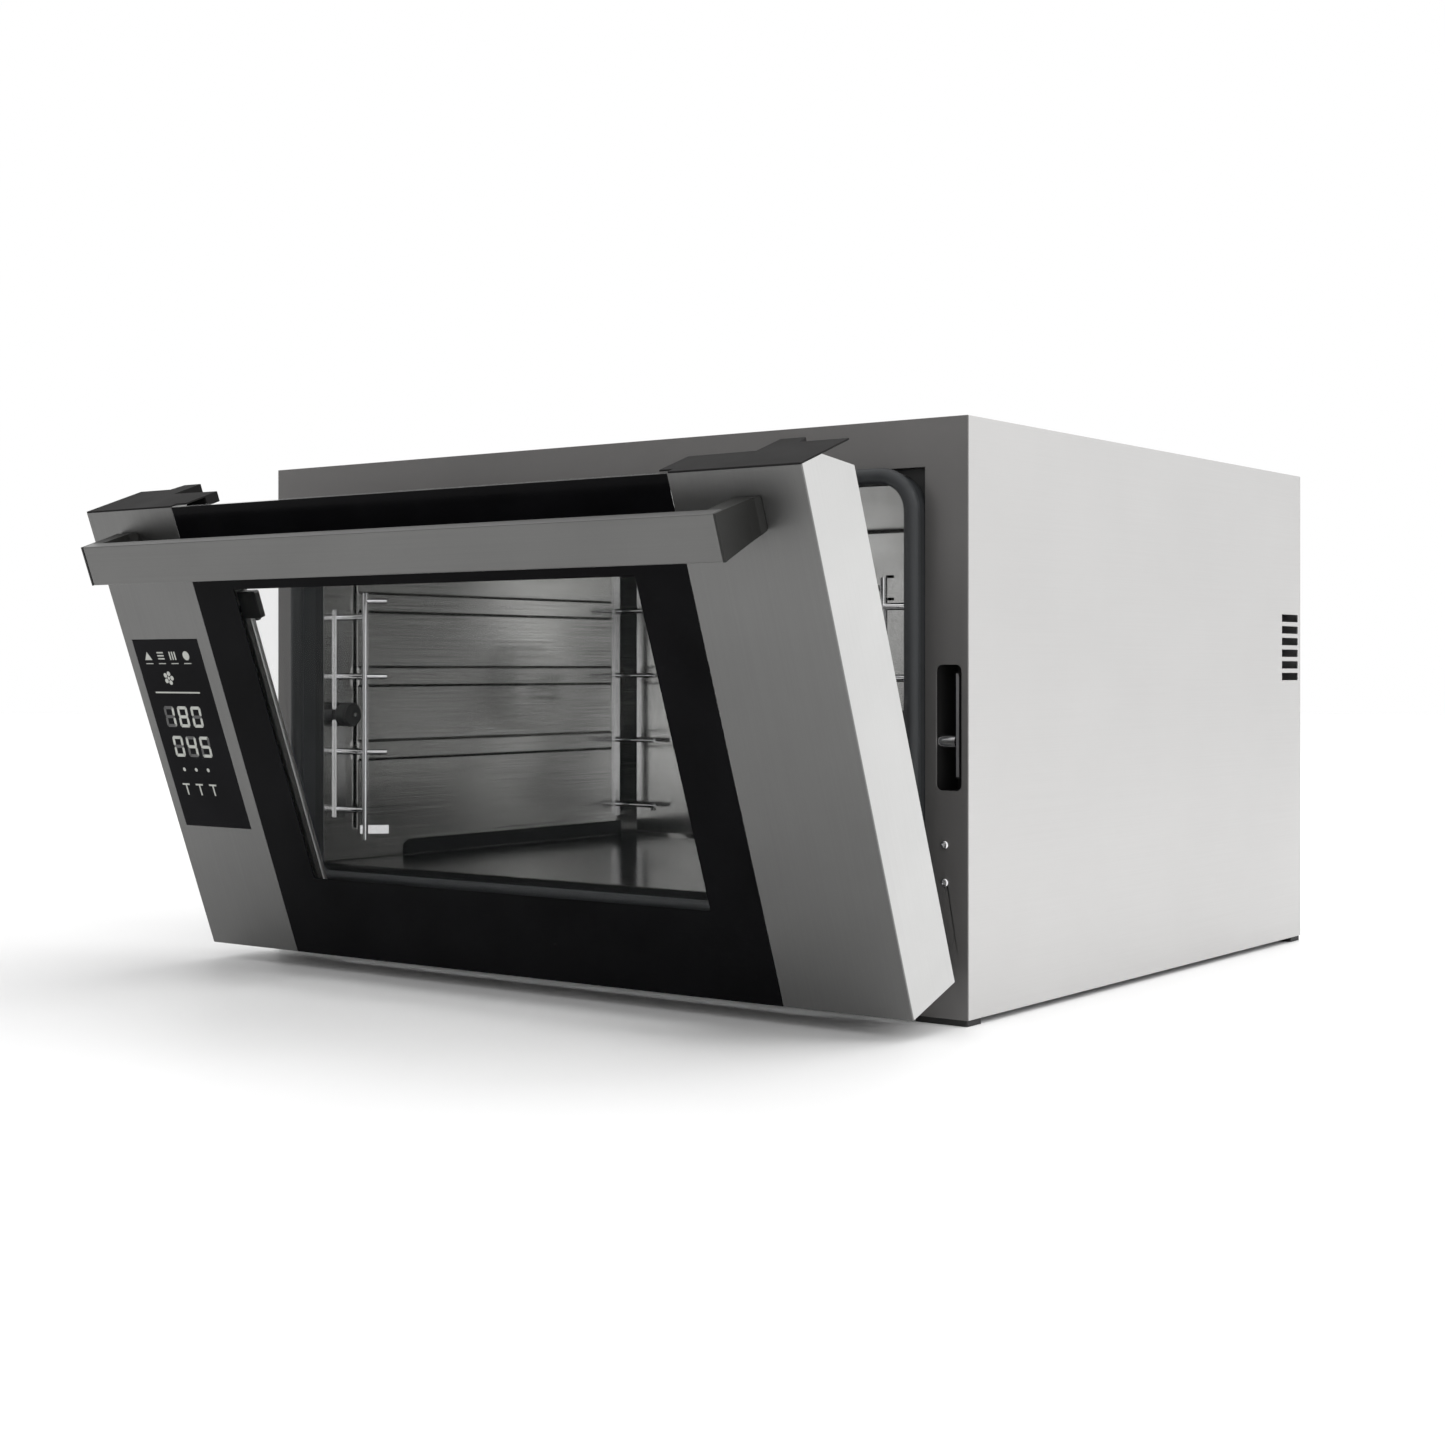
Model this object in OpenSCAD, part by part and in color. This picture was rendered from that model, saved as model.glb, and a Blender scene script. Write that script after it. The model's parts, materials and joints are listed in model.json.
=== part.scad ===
// Countertop combi steamer oven with a drop-down glass door, drawn with the door ajar.
// X is to the right, Y goes back, Z is up. The origin is on the floor under the middle
// of the whole object's box.

/* [Cabinet] */
// Width of the cabinet and of the door
body_w = 800; // [780:1:820]
// Depth of the cabinet without the door
body_d = 685; // [670:1:720]
// Height of the cabinet's top above the floor
body_h = 483; // [480:1:500]
// Height of the feet
foot_h = 5; // [4:1:8]
// Thickness of the sheet steel
sheet = 1.5; // [1.2:0.1:1.8]
// How far the water inlet and the exhaust stand out of the back
rear_stub = 20; // [15:1:30]

/* [Cooking cavity] */
// Inner width of the cavity
cavity_w = 684; // [680:1:686]
// Height of the cavity's floor above the floor
cavity_floor = 90; // [88:1:92]
// Height of the cavity's ceiling above the floor
cavity_ceiling = 431; // [428:1:432]
// Distance from the cabinet's front to the fan baffle
baffle_y = 485; // [475:1:490]
// Distance between two tray levels
tray_pitch = 75; // [70:1:78]
// Height of the lowest tray level above the floor
tray_bottom = 125; // [122:1:128]
// Diameter of the door seal's tube
seal_d = 13; // [12:0.5:15]

/* [Door] */
// Height of the door
door_h = 437; // [430:1:445]
// Thickness of the door
door_t = 66; // [64:1:68]
// Gap between the closed door and the cabinet
door_gap = 21; // [21:1:24]
// Height of the closed door's lower edge above the floor
door_z = 25; // [25:1:28]
// Angle at which the door is drawn, from closed
door_open = 20; // [10:1:30]
// Width of the black glass between the two steel columns
band_w = 560; // [550:1:570]
// Width of the clear window
window_w = 457; // [440:1:460]
// Height of the clear window
window_h = 280; // [270:1:290]
// Height of the window's lower edge above the door's lower edge
window_v = 79; // [75:1:85]
// Width of the control panel
panel_w = 92; // [88:1:96]
// Height of the control panel
panel_h = 188; // [180:1:192]
// Height of the control panel's lower edge above the door's lower edge
panel_v = 125; // [120:1:130]

/* [Handle] */
// Length of the handle bar
handle_l = 706; // [690:1:720]
// Height of the handle bar
handle_h = 36; // [34:1:38]
// Thickness of the handle bar
handle_t = 12; // [10:1:14]
// Distance from the door's front to the handle's front
handle_reach = 50; // [46:1:55]
// Height of the handle's lower edge above the door's lower edge
handle_v = 382; // [376:1:388]

/* [Fans] */
// Distance between the two fan shafts
fan_span = 330; // [320:1:340]
// Height of the fan shafts above the floor
fan_z = 260; // [255:1:265]
// Outer radius of a fan wheel
fan_r = 80; // [70:1:84]
// Radius of a fan shaft
shaft_r = 6; // [5:0.5:7]

/* [Hidden] */

$fn = 48;
fit_gap = 0.3;
half_w = body_w / 2;
rear_y = body_d + rear_stub;

// Hinge axis in the cabinet's own frame, where Y is 0 at the cabinet's front
hinge_y = -58;
hinge_z = 34;
hinge_pin_r = 5;
pin_clear = 0.06;
// The same axis in the door's frame: U runs back from the door's front, V up from its lower edge
door_front_y = -door_gap - door_t;
hinge_u = hinge_y - door_front_y;
hinge_v = hinge_z - door_z;

// Y of a point of the drawn door, in the cabinet's own frame
function door_y(u, v) = hinge_y + (u - hinge_u) * cos(door_open) - (v - hinge_v) * sin(door_open);
handle_front_y = door_y(-handle_reach, handle_v + handle_h);
y_shift = -(handle_front_y + rear_y) / 2;

// Front opening of the frame and the middle line of the door seal
mouth_x = 360.5;
mouth_z0 = 75;
mouth_z1 = 444;
seal_r = seal_d / 2;
seal_x = 357;
seal_z0 = 79;
seal_z1 = 437.5;
seal_corner = 30;
liner_y0 = 8;
liner_y1 = 535;
cav_x = cavity_w / 2;

// Catch slot in the frame's right side and the roller behind it
slot_x0 = 371;
slot_x1 = 394;
slot_z0 = 186;
slot_z1 = 286;
roller_y = 8;
roller_z = 225;
roller_r = 6;
roller_pin_r = 2.5;

// Cabinet parts are drawn from the cabinet's front plane, door parts from the closed door
module in_cabinet() { translate([0, y_shift, 0]) children(); }
module in_door() {
    translate([0, y_shift + hinge_y, hinge_z]) rotate([door_open, 0, 0])
        translate([0, -hinge_u, -hinge_v]) children();
}
// Mirrored copy for the left side
module left_side() { mirror([1, 0, 0]) children(); }
module both_sides() { children(); mirror([1, 0, 0]) children(); }

// Block given by its limits along X, Y and Z
module block(x, y, z) {
    translate([x[0], y[0], z[0]]) cube([x[1] - x[0], y[1] - y[0], z[1] - z[0]]);
}
// Round bar along each axis, from a to b
module bar_x(a, b, y, z, r) { translate([a, y, z]) rotate([0, 90, 0]) cylinder(r = r, h = b - a); }
module bar_y(x, a, b, z, r) { translate([x, a, z]) rotate([-90, 0, 0]) cylinder(r = r, h = b - a); }
module bar_z(x, y, a, b, r) { translate([x, y, a]) cylinder(r = r, h = b - a); }
// Outline with rounded corners, centred on X, from z0 to z1
module round_outline(x, z0, z1, r) {
    union() {
        for (sx = [-1, 1]) for (z = [z0 + r, z1 - r]) translate([sx * (x - r), z]) circle(r = r);
        translate([-x + r, z0]) square([2 * (x - r), z1 - z0]);
        translate([-x, z0 + r]) square([2 * x, z1 - z0 - 2 * r]);
    }
}
// Plate in the XZ plane, from y0 back to y1, made from a 2D outline
module plate_xz(y0, y1) { translate([0, y1, 0]) rotate([90, 0, 0]) linear_extrude(y1 - y0) children(); }
// Plate in the YZ plane, from x0 to x1, made from an outline in Y and Z
module plate_yz(x0, x1) {
    translate([x0, 0, 0]) rotate([90, 0, 90]) linear_extrude(x1 - x0) children();
}

// ---- Cabinet shell ----

vent_z0 = 271;
vent_pitch = 12;
vent_count = 6;
vent_h = 7.5;
module outer_casing() color("gainsboro") in_cabinet() difference() {
    block([-half_w, half_w], [sheet, body_d - sheet], [foot_h, body_h]);
    block([-half_w + sheet, half_w - sheet], [0, body_d], [0, body_h - sheet]);
    for (i = [0 : vent_count - 1])
        translate([0, 0, vent_z0 + i * vent_pitch]) block([-half_w - 1, half_w + 1], [636, 678], [0, vent_h]);
}

module catch_slot_outline() {
    translate([(slot_x0 + slot_x1) / 2, 0]) round_outline((slot_x1 - slot_x0) / 2, slot_z0, slot_z1, 5);
}
module front_frame() color("dimgray") in_cabinet() {
    plate_xz(0, sheet) difference() {
        translate([-half_w, foot_h]) square([body_w, body_h - foot_h]);
        translate([-mouth_x, mouth_z0]) square([2 * mouth_x, mouth_z1 - mouth_z0]);
        catch_slot_outline();
        both_sides() translate([354, 22]) square([8, 24]);
        both_sides() for (z = [113, 143]) translate([379, z]) circle(r = 2.2);
    }
    // Returned edge around the mouth
    plate_xz(sheet, sheet + 5) difference() {
        translate([-mouth_x - sheet, mouth_z0 - sheet])
            square([2 * (mouth_x + sheet), mouth_z1 - mouth_z0 + 2 * sheet]);
        translate([-mouth_x, mouth_z0]) square([2 * mouth_x, mouth_z1 - mouth_z0]);
    }
}

module base_pan() color("silver") in_cabinet() {
    inner_x = half_w - sheet - fit_gap;
    difference() {
        block([-inner_x, inner_x], [2, 683], [foot_h, 25]);
        block([-inner_x + sheet, inner_x - sheet], [2 + sheet, 683 - sheet], [foot_h + sheet, 26]);
        both_sides() block([354, 362], [0, 6], [22, 26]);
        for (x = [-300 : 60 : 300]) for (y = [560 : 14 : 630]) block([x - 20, x + 20], [y, y + 5], [0, 10]);
    }
}

exhaust_x = -230;
exhaust_z = 450;
exhaust_r = 15;
inlet_x = 300;
inlet_z = 60;
inlet_r = 13;
gland_x = -300;
gland_z = 60;
button_x = 40;
button_z = 110;
button_r = 5;
module rear_panel() color("silver") in_cabinet() plate_xz(body_d - sheet, body_d) difference() {
    translate([-half_w, foot_h]) square([body_w, body_h - foot_h]);
    translate([exhaust_x, exhaust_z]) circle(r = exhaust_r + fit_gap);
    translate([inlet_x, inlet_z]) circle(r = inlet_r + fit_gap);
    translate([gland_x, gland_z]) circle(r = 10 + fit_gap);
    translate([button_x, button_z]) circle(r = button_r + 2 + fit_gap);
    for (cx = [-150, 200]) for (row = [0 : 7]) for (k = [-2 : 2])
        translate([cx + k * 26 - 10, 250 + row * 14]) square([20, 5]);
}

foot_x = 375;
foot_inset = 12;
module feet() color("black") in_cabinet() for (x = [-foot_x, foot_x])
    for (y = [foot_inset, body_d - foot_inset])
        translate([x, y, 0]) block([-24, 24], [-11, 11], [0, foot_h]);

// ---- Cavity ----

module cavity_liner() color("silver") in_cabinet() difference() {
    union() {
        block([-cav_x - sheet, cav_x + sheet], [liner_y0, liner_y1 + sheet],
            [cavity_floor - sheet, cavity_ceiling + sheet]);
        block([-mouth_x + 0.5, mouth_x - 0.5], [liner_y0, liner_y0 + sheet],
            [mouth_z0 + 0.5, mouth_z1 - 0.5]);
    }
    block([-cav_x, cav_x], [liner_y0 - 1, liner_y1], [cavity_floor, cavity_ceiling]);
    for (sx = [-1, 1]) {
        bar_y(sx * fan_span / 2, liner_y1 - 1, liner_y1 + 3, fan_z, shaft_r + 3);
        for (k = [-1, 1]) bar_y(sx * fan_span / 2 + k * 20, liner_y1 - 1, liner_y1 + 3, fan_z - 98, 5.2);
    }
    bar_y(0, liner_y1 - 1, liner_y1 + 3, 330, 4.2);
    bar_y(60, liner_y1 - 1, liner_y1 + 3, 390, 4.2);
    bar_z(exhaust_x, 505, cavity_ceiling - 1, cavity_ceiling + 3, exhaust_r + 0.2);
}

// The seal is a round tube on a narrow foot, bent round the mouth
module seal_ring(r) {
    for (z = [seal_z0, seal_z1]) bar_x(-seal_x + seal_corner, seal_x - seal_corner, 0, z, r);
    for (x = [-seal_x, seal_x]) bar_z(x, 0, seal_z0 + seal_corner, seal_z1 - seal_corner, r);
    for (sx = [-1, 1]) for (sz = [0, 1])
        translate([sx * (seal_x - seal_corner), 0, sz ? seal_z1 - seal_corner : seal_z0 + seal_corner])
            rotate([90, 0, 0])
            rotate([0, 0, sx > 0 ? (sz ? 0 : 270) : (sz ? 90 : 180)])
            rotate_extrude(angle = 90) translate([seal_corner, 0]) circle(r = r);
}
module cavity_seal() color("dimgray") in_cabinet() {
    translate([0, seal_r - door_gap + 0.6, 0]) seal_ring(seal_r);
    plate_xz(2 * seal_r - door_gap - 0.4, liner_y0) difference() {
        round_outline(seal_x + 3, seal_z0 - 3, seal_z1 + 3, seal_corner + 3);
        round_outline(seal_x - 3, seal_z0 + 3, seal_z1 - 3, seal_corner - 3);
    }
}

module insulation_wrap() difference() {
    block([-366, 366], [14, 534], [66, 466]);
    block([-cav_x - sheet - fit_gap, cav_x + sheet + fit_gap], [0, 600],
        [cavity_floor - sheet - fit_gap, cavity_ceiling + sheet + fit_gap]);
    bar_z(exhaust_x, 505, cavity_ceiling, 480, exhaust_r + 1);
    block([exhaust_x - exhaust_r - 1, exhaust_x + exhaust_r + 1], [505, 600], [cavity_ceiling, 470]);
}
module insulation_rear() difference() {
    block([-366, 366], [537, 555], [66, 466]);
    for (sx = [-1, 1]) {
        bar_y(sx * fan_span / 2, 530, 560, fan_z, shaft_r + 6);
        for (k = [-1, 1]) bar_y(sx * fan_span / 2 + k * 20, 530, 560, fan_z - 98, 6);
    }
    bar_y(0, 530, 560, 330, 5);
    bar_y(60, 530, 560, 390, 5);
    block([exhaust_x - 20, exhaust_x + 20], [530, 560], [425, 470]);
}
// A blanket round the cavity and one behind it
module insulation() color("khaki") in_cabinet() {
    insulation_wrap();
    insulation_rear();
}

// Embossed liner panel on the right wall, with one raised band at each upper tray level
module side_panel() {
    x = cav_x - 2.5;
    block([x - sheet, x], [50, 450], [tray_bottom - 3, 415]);
    for (k = [1 : 3]) {
        z = tray_bottom + k * tray_pitch;
        plate_xz(50, 450) polygon([[x, z - 12], [x, z + 12], [x - sheet, z + 11], [x - 4, z + 8],
            [x - 4, z - 8], [x - sheet, z - 11]]);
    }
    block([x - sheet, cav_x], [50, 450], [tray_bottom - 4.5, tray_bottom - 3]);
    block([x - sheet, cav_x], [50, 450], [415, 416.5]);
}
module side_panel_right() color("lightgray") in_cabinet() side_panel();
module side_panel_left() color("lightgray") in_cabinet() left_side() side_panel();

// Chrome rack on the front of each wall: a strip on the wall, a round upright and cross rods,
// with a slanting peg for the tray at each level
rack_y = 28;
rack_x = 304;
rod_r = 3;
peg_l = 21;
knob_z = 237;
wall_x = cav_x - 0.2;
strip_x = wall_x - 3;
module rack_front() difference() {
    union() {
        bar_z(rack_x, rack_y, tray_bottom - 12, tray_bottom + 3 * tray_pitch + 8, rod_r);
        for (z = [142, tray_bottom + tray_pitch, tray_bottom + 2 * tray_pitch, 334])
            bar_x(rack_x, wall_x - 1, rack_y, z, rod_r);
        block([strip_x, wall_x], [rack_y - 6, rack_y + 6], [134, 342]);
        for (k = [1 : 3]) translate([rack_x, rack_y, tray_bottom + k * tray_pitch])
            rotate([0, 0, 45]) bar_y(0, 0, peg_l, 0, 2.5);
        translate([rack_x, rack_y, tray_bottom]) rotate([0, 0, 45])
            block([-1.5, 1.5], [-5, peg_l + 2], [-6, 2.5]);
    }
    bar_x(strip_x - 1, wall_x + 1, rack_y, knob_z, 2.2);
}
module rack_front_right() color("whitesmoke") in_cabinet() rack_front();
module rack_front_left() color("whitesmoke") in_cabinet() left_side() rack_front();

// Strip with pegs that hold the rear corners of the trays
module rack_rear() {
    block([wall_x - 2, wall_x], [461, 477], [112, 425]);
    for (k = [0 : 3]) bar_x(288, wall_x - 1, 469, tray_bottom + k * tray_pitch, 2.5);
}
module rack_rear_right() color("whitesmoke") in_cabinet() rack_rear();
module rack_rear_left() color("whitesmoke") in_cabinet() left_side() rack_rear();

// Black knobs on bright studs hold the front racks to the walls
module rack_knobs() color("black") in_cabinet() both_sides() difference() {
    union() {
        bar_x(321, strip_x - 2, rack_y, knob_z, 11);
        bar_x(323, strip_x - 4, rack_y, knob_z, 12);
    }
    bar_x(300, 345, rack_y, knob_z, 2.05);
}
module rack_studs() color("white") in_cabinet() both_sides() {
    bar_x(318, wall_x, rack_y, knob_z, 2);
    bar_x(strip_x - 2, strip_x, rack_y, knob_z, 8);
    block([strip_x - 2, strip_x], [rack_y - 26, rack_y], [knob_z - 5, knob_z + 5]);
}

baffle_x = 327;
module fan_baffle() color("lightgray") in_cabinet() {
    x = baffle_x;
    plate_xz(baffle_y, baffle_y + sheet) difference() {
        translate([-x, cavity_floor + 3]) square([2 * x, cavity_ceiling - cavity_floor - 6]);
        for (sx = [-1, 1]) translate([sx * fan_span / 2, fan_z]) for (row = [-4 : 4])
            let (half = sqrt(60 * 60 - row * row * 144)) for (k = [-1, 1])
                translate([k > 0 ? 2 : -half - 2, row * 12 - 3]) square([half, 6]);
        for (x = [-24, 0, 24]) for (z = [356, 380]) translate([x - 7, z]) square([10, 3]);
        for (sx = [-1, 1]) translate([sx * 302 - 4, 118]) square([8, 3]);
    }
    // Spacers to the rear wall
    for (x = [-300, 0, 300]) for (z = [110, 410]) bar_y(x, baffle_y + sheet, liner_y1, z, 4);
}

module bulkhead() color("silver") in_cabinet() difference() {
    block([-396, 396], [556, 557.5], [27, 470]);
    for (sx = [-1, 1]) {
        bar_y(sx * fan_span / 2, 550, 560, fan_z, shaft_r + 3);
        for (k = [-1, 1]) bar_y(sx * fan_span / 2 + k * 20, 550, 560, fan_z - 98, 6);
    }
    bar_y(0, 550, 560, 330, 5);
    bar_y(60, 550, 560, 390, 5);
    block([exhaust_x - 20, exhaust_x + 20], [550, 560], [425, 475]);
}

// ---- Heating and air ----

module heater() {
    for (y = [504, 516]) translate([0, y, fan_z]) rotate([90, 0, 0])
        rotate_extrude() translate([98, 0]) circle(r = 4);
    for (k = [-1, 1]) bar_y(k * 20, 504, 566, fan_z - 98, 5);
}
module heater_left() color("gray") in_cabinet() translate([-fan_span / 2, 0, 0]) heater();
module heater_right() color("gray") in_cabinet() translate([fan_span / 2, 0, 0]) heater();

module fan_wheel() {
    difference() {
        union() {
            bar_y(0, 494, 524, 0, 14);
            bar_y(0, 522, 524, 0, fan_r);
        }
        bar_y(0, 490, 530, 0, shaft_r);
    }
    difference() {
        bar_y(0, 494, 496, 0, fan_r);
        bar_y(0, 490, 500, 0, fan_r - 22);
    }
    for (a = [0 : 30 : 330]) rotate([0, a, 0]) translate([fan_r - 12, 0, 0]) rotate([0, 35, 0])
        block([-11, 11], [495, 523], [-1, 1]);
}
module fan_wheel_left() color("silver") in_cabinet() translate([-fan_span / 2, 0, fan_z]) fan_wheel();
module fan_wheel_right() color("silver") in_cabinet() translate([fan_span / 2, 0, fan_z]) fan_wheel();

module fan_shaft() {
    bar_y(0, 490, 640, 0, shaft_r);
    bar_y(0, 488, 490, 0, shaft_r + 3);
}
module fan_shaft_left() color("lightgray") in_cabinet() translate([-fan_span / 2, 0, fan_z]) fan_shaft();
module fan_shaft_right() color("lightgray") in_cabinet() translate([fan_span / 2, 0, fan_z]) fan_shaft();

module motor() difference() {
    union() {
        bar_y(0, 562, 645, 0, 40);
        block([-46, 46], [558, 562], [-46, 46]);
        for (a = [0 : 24 : 336]) rotate([0, a, 0]) block([39, 43], [570, 636], [-1.5, 1.5]);
    }
    bar_y(0, 550, 642, 0, shaft_r + 0.05);
}
module motor_left() color("darkslategray") in_cabinet() translate([-fan_span / 2, 0, fan_z]) motor();
module motor_right() color("darkslategray") in_cabinet() translate([fan_span / 2, 0, fan_z]) motor();

// Water runs from the inlet through the valve and the pipe to the middle of the rear wall
module water_inlet() color("gold") in_cabinet() difference() {
    union() {
        bar_y(inlet_x, 664, body_d + 1, inlet_z, inlet_r - 1);
        bar_y(inlet_x, 672, 680, inlet_z, inlet_r + 4);
        bar_y(inlet_x, body_d + 0.5, rear_y, inlet_z, inlet_r);
    }
    bar_y(inlet_x, 660, rear_y + 1, inlet_z, 8);
}
module solenoid_valve() color("steelblue") in_cabinet() {
    block([inlet_x - 18, inlet_x + 18], [618, 664], [42, 78]);
    bar_z(inlet_x, 641, 78, 112, 14);
    block([inlet_x - 30, inlet_x - 18], [634, 648], [53, 67]);
}
module steam_pipe() color("white") in_cabinet() {
    pipe_r = 4;
    bar_x(0, inlet_x - 30, 641, 60, pipe_r);
    translate([0, 641, 60]) sphere(r = pipe_r);
    bar_z(0, 641, 60, 330, pipe_r);
    translate([0, 641, 330]) sphere(r = pipe_r);
    bar_y(0, 490, 641, 330, pipe_r);
}

module exhaust_pipe() color("silver") in_cabinet() {
    wall = 1.5;
    difference() {
        union() {
            bar_z(exhaust_x, 505, cavity_ceiling, exhaust_z, exhaust_r);
            bar_y(exhaust_x, 505, rear_y, exhaust_z, exhaust_r);
            translate([exhaust_x, 505, exhaust_z]) sphere(r = exhaust_r);
        }
        bar_z(exhaust_x, 505, cavity_ceiling - 1, exhaust_z, exhaust_r - wall);
        bar_y(exhaust_x, 505, rear_y + 1, exhaust_z, exhaust_r - wall);
        translate([exhaust_x, 505, exhaust_z]) sphere(r = exhaust_r - wall);
    }
}

// ---- Electrics ----

module power_board() color("darkgreen") in_cabinet() {
    block([-380, -260], [600, 602], [200, 380]);
    for (k = [0 : 3]) block([-370 + k * 27, -350 + k * 27], [602, 620], [330, 360]);
    block([-370, -320], [602, 632], [230, 280]);
    for (k = [0 : 5]) block([-305 + k * 8, -299 + k * 8], [602, 612], [210, 220]);
    for (x = [-374, -266]) for (z = [206, 374]) bar_y(x, 557.5, 600, z, 3);
}
module terminal_block() color("ivory") in_cabinet() {
    block([-340, -260], [600, 622], [30, 32]);
    for (k = [0 : 4]) difference() {
        block([-338 + k * 15, -325 + k * 15], [602, 620], [32, 48]);
        bar_z(-331.5 + k * 15, 611, 40, 50, 3);
    }
    block([-340, -260], [606, 616], [25 + 0.2, 30]);
}
module cable_gland() color("black") in_cabinet() difference() {
    union() {
        bar_y(gland_x, 672, 700, gland_z, 10);
        bar_y(gland_x, body_d, body_d + 6, gland_z, 15);
        bar_y(gland_x, 676, body_d - sheet, gland_z, 14);
    }
    bar_y(gland_x, 660, 710, gland_z, 6);
}

button_travel = 2;
module thermostat() color("beige") in_cabinet() difference() {
    union() {
        block([button_x - 20, button_x + 20], [640, 668], [button_z - 20, button_z + 20]);
        bar_y(button_x, 668, body_d + 2, button_z, button_r + 2);
    }
    bar_y(button_x, 664, body_d + 3, button_z, button_r + 0.2);
}
module thermostat_button() color("red") in_cabinet() {
    bar_y(button_x, 664 + button_travel + 1, body_d + 6, button_z, button_r);
}

cooler_x = 330;
cooler_z = 300;
module cooling_fan_frame() color("black") in_cabinet() translate([cooler_x, 0, cooler_z]) {
    difference() {
        block([-40, 40], [600, 625], [-40, 40]);
        bar_y(0, 590, 630, 0, 37);
    }
    difference() {
        union() {
            bar_y(0, 619, 625, 0, 15);
            for (a = [45 : 90 : 315]) rotate([0, a, 0]) block([14, 38], [621, 625], [-2, 2]);
        }
        bar_y(0, 610, 630, 0, 3.05);
    }
}
module cooling_fan_rotor() color("dimgray") in_cabinet() translate([cooler_x, 0, cooler_z]) {
    bar_y(0, 603, 618, 0, 14);
    bar_y(0, 618, 624, 0, 3);
    for (a = [0 : 60 : 300]) rotate([0, a, 0]) translate([23, 610, 0]) rotate([35, 0, 0])
        block([-11, 11], [-1, 1], [-7, 7]);
}

module temperature_probe() color("silver") in_cabinet() {
    bar_y(60, 489, 575, 390, 4);
    bar_y(60, 575, 582, 390, 7);
}

// ---- Hinges and catches on the cabinet ----

module hinge_brackets() color("gray") in_cabinet() both_sides() difference() {
    union() {
        plate_yz(355, 361) {
            translate([hinge_y, hinge_z]) circle(r = 10);
            translate([hinge_y, hinge_z - 10]) square([60 - hinge_y, 20]);
        }
        block([335, 361], [10, 60], [foot_h + sheet, foot_h + sheet + 3]);
        block([355, 361], [10, 60], [foot_h + sheet, hinge_z]);
    }
    bar_x(350, 365, hinge_y, hinge_z, hinge_pin_r);
}
module hinge_pins() color("lightgray") in_cabinet() both_sides()
    bar_x(343, 392, hinge_y, hinge_z, hinge_pin_r);

// Sheet box behind the slot, with a plate that carries the roller's pin
catch_depth = 34.5;
module catch_bracket() color("gray") in_cabinet() {
    difference() {
        block([slot_x0 - 2, slot_x1 + 3], [sheet, catch_depth + sheet], [slot_z0 - 2, slot_z1 + 3]);
        block([slot_x0 - 0.5, slot_x1 + 1.5], [0, catch_depth], [slot_z0 - 0.5, slot_z1 + 1.5]);
    }
    block([388, 391], [sheet + 0.5, catch_depth + 0.5], [196, 280]);
    bar_x(slot_x0 - 1, 388.5, roller_y, roller_z, roller_pin_r);
}
module catch_roller() color("white") in_cabinet() difference() {
    bar_x(371.5, 386.5, roller_y, roller_z, roller_r);
    bar_x(370, 388, roller_y, roller_z, roller_pin_r + pin_clear);
}

screw_r = 3.5;
module casing_screws() color("silver") in_cabinet() {
    both_sides() for (z = [113, 143]) {
        bar_y(379, -2, 0, z, screw_r);
        bar_y(379, 0, 8, z, 2);
    }
    for (x = [-388, -130, 130, 388]) for (z = [20, 470]) {
        bar_y(x, body_d, body_d + 2, z, screw_r);
    }
}

// ---- Door ----

// Right-hand column in door coordinates: folded sheet, open at the top, chamfered rear corner
chamfer_u = 28;
chamfer_v = 19;
module column_profile()
    polygon([[0, 0], [door_t, 0], [door_t, door_h - chamfer_v], [chamfer_u, door_h], [0, door_h]]);
column_in = 290;
module column_shell() difference() {
    union() {
        plate_yz(half_w - sheet, half_w) column_profile();
        block([band_w / 2 + 0.5, half_w], [0, sheet], [0, door_h]);
        block([column_in, half_w], [door_t - sheet, door_t], [0, door_h - chamfer_v]);
        block([band_w / 2 + 0.5, half_w], [0, door_t], [0, sheet]);
        block([band_w / 2 + 0.5, band_w / 2 + 0.5 + sheet], [0, 18], [0, door_h]);
        block([column_in - 8, column_in + sheet], [door_t - 9, door_t - 7.5],
            [sheet, door_h - chamfer_v - 2]);
        block([column_in, column_in + sheet], [door_t - 9, door_t - sheet], [sheet, door_h - chamfer_v - 2]);
    }
    // Way through for the hinge bracket as the door turns
    block([353, 363], [hinge_u - 12, door_t + 1], [-1, hinge_v + 12]);
    bar_y(clip_x, door_t - 3, door_t + 1, clip_v, 3.1);
}
handle_screw_v = [handle_v + 14, handle_v + handle_h - 10];
module handle_screw_holes() for (v = handle_screw_v)
    bar_y(handle_l / 2 - 8, -1, sheet + 1, v, 2.6);
module door_column_right() color("gray") in_door() difference() {
    column_shell();
    handle_screw_holes();
    block([tongue_x - 0.5, tongue_x + 3.5], [door_t - 5, door_t + 1], [tongue_v - 6, tongue_v + 24]);
}
panel_x0 = half_w - 11 - panel_w;
module door_column_left() color("gray") in_door() left_side() difference() {
    column_shell();
    handle_screw_holes();
    block([panel_x0 - fit_gap, panel_x0 + panel_w + fit_gap], [-1, sheet + 1],
        [panel_v - fit_gap, panel_v + panel_h + fit_gap]);
}

// Dark lid on a column, with a stepped tongue to the rear
cap_t = 1.5;
cap_skirt = 8;
module door_cap() {
    translate([0, 0, door_h]) linear_extrude(cap_t) polygon([[half_w, 0], [half_w, door_t], [357, door_t],
        [353, 80], [330, 80], [330, 47], [268, 45], [268, 7], [281, 7], [281, 0]]);
    translate([0, 0, door_h - cap_skirt]) linear_extrude(cap_skirt + 0.5)
        polygon([[357, 30], [357, door_t], [353, 80], [330, 80], [330, 47], [268, 45], [268, 30]]);
}
module door_cap_right() color("dimgray") in_door() door_cap();
module door_cap_left() color("dimgray") in_door() left_side() door_cap();

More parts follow.
